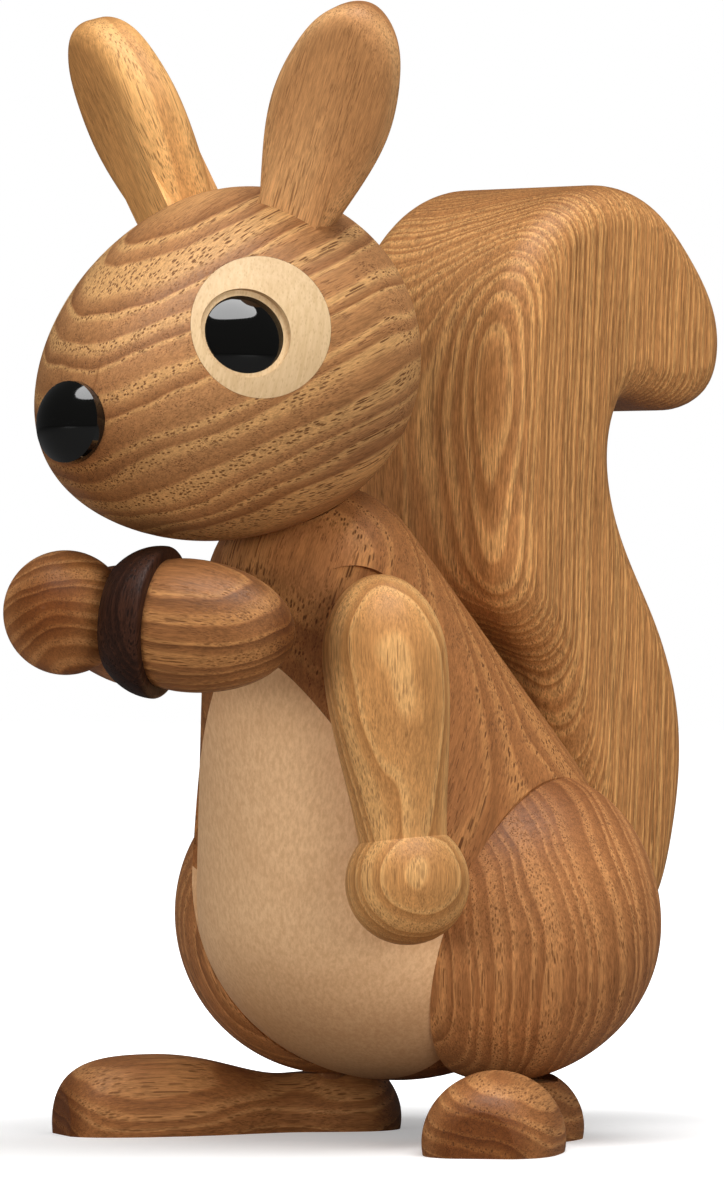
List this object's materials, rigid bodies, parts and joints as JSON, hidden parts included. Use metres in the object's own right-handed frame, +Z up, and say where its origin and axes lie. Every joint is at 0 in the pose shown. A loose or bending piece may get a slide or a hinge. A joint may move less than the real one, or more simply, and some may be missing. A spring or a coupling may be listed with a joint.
{
  "type": "jointed wooden squirrel figurine",
  "caption": "Wooden squirrel figurine that sits upright on two feet, with a turning head, two swinging arms and an acorn in one hand.",
  "frame": {"origin": "on the surface it stands on, under the middle of the bounding box", "axes": "+Z up, the squirrel looks along -Y, its left side is +X"},
  "size_m": [0.0932, 0.1369, 0.1683],
  "materials": {
    "oak": "satin",
    "maple": "satin",
    "dark_wood": "satin",
    "black_bead": "gloss",
    "dowel": "satin"
  },
  "bodies": {
    "trunk": {"torso": "oak", "belly_inlay": "maple", "thigh_left": "oak", "thigh_right": "oak", "foot_left": "oak", "foot_right": "oak", "tail": "oak", "neck_dowel": "dowel", "foot_dowel_left": "dowel", "foot_dowel_right": "dowel", "thigh_dowel_left": "dowel", "thigh_dowel_right": "dowel", "tail_dowels": "dowel"},
    "head": {"head": "oak", "ear_left": "oak", "ear_right": "oak", "eye_ring_left": "maple", "eye_ring_right": "maple", "eye_bead_left": "black_bead", "eye_bead_right": "black_bead", "nose_bead": "black_bead"},
    "arm_left": {"arm_left": "oak", "shoulder_dowel_left": "dowel"},
    "arm_right": {"arm_right": "oak", "shoulder_dowel_right": "dowel", "acorn_nut": "oak", "acorn_cap": "dark_wood", "acorn_dowel": "dowel"}
  },
  "joints": [
    {"name": "head_turn", "type": "hinge", "parent": "trunk", "child": "head", "pos_m": [0, -0.0157, 0.09482], "axis": [0, -0.4163, 0.9092], "continuous": true},
    {"name": "arm_left_swing", "type": "hinge", "parent": "trunk", "child": "arm_left", "pos_m": [0.0221, -0.02129, 0.07675], "axis": [-0.9324, 0.3486, -0.0958], "range_deg": [0, 50]},
    {"name": "arm_right_swing", "type": "hinge", "parent": "trunk", "child": "arm_right", "pos_m": [-0.0221, -0.02129, 0.07675], "axis": [-0.9324, -0.3486, 0.0958], "range_deg": [-60, 4]}
  ]
}
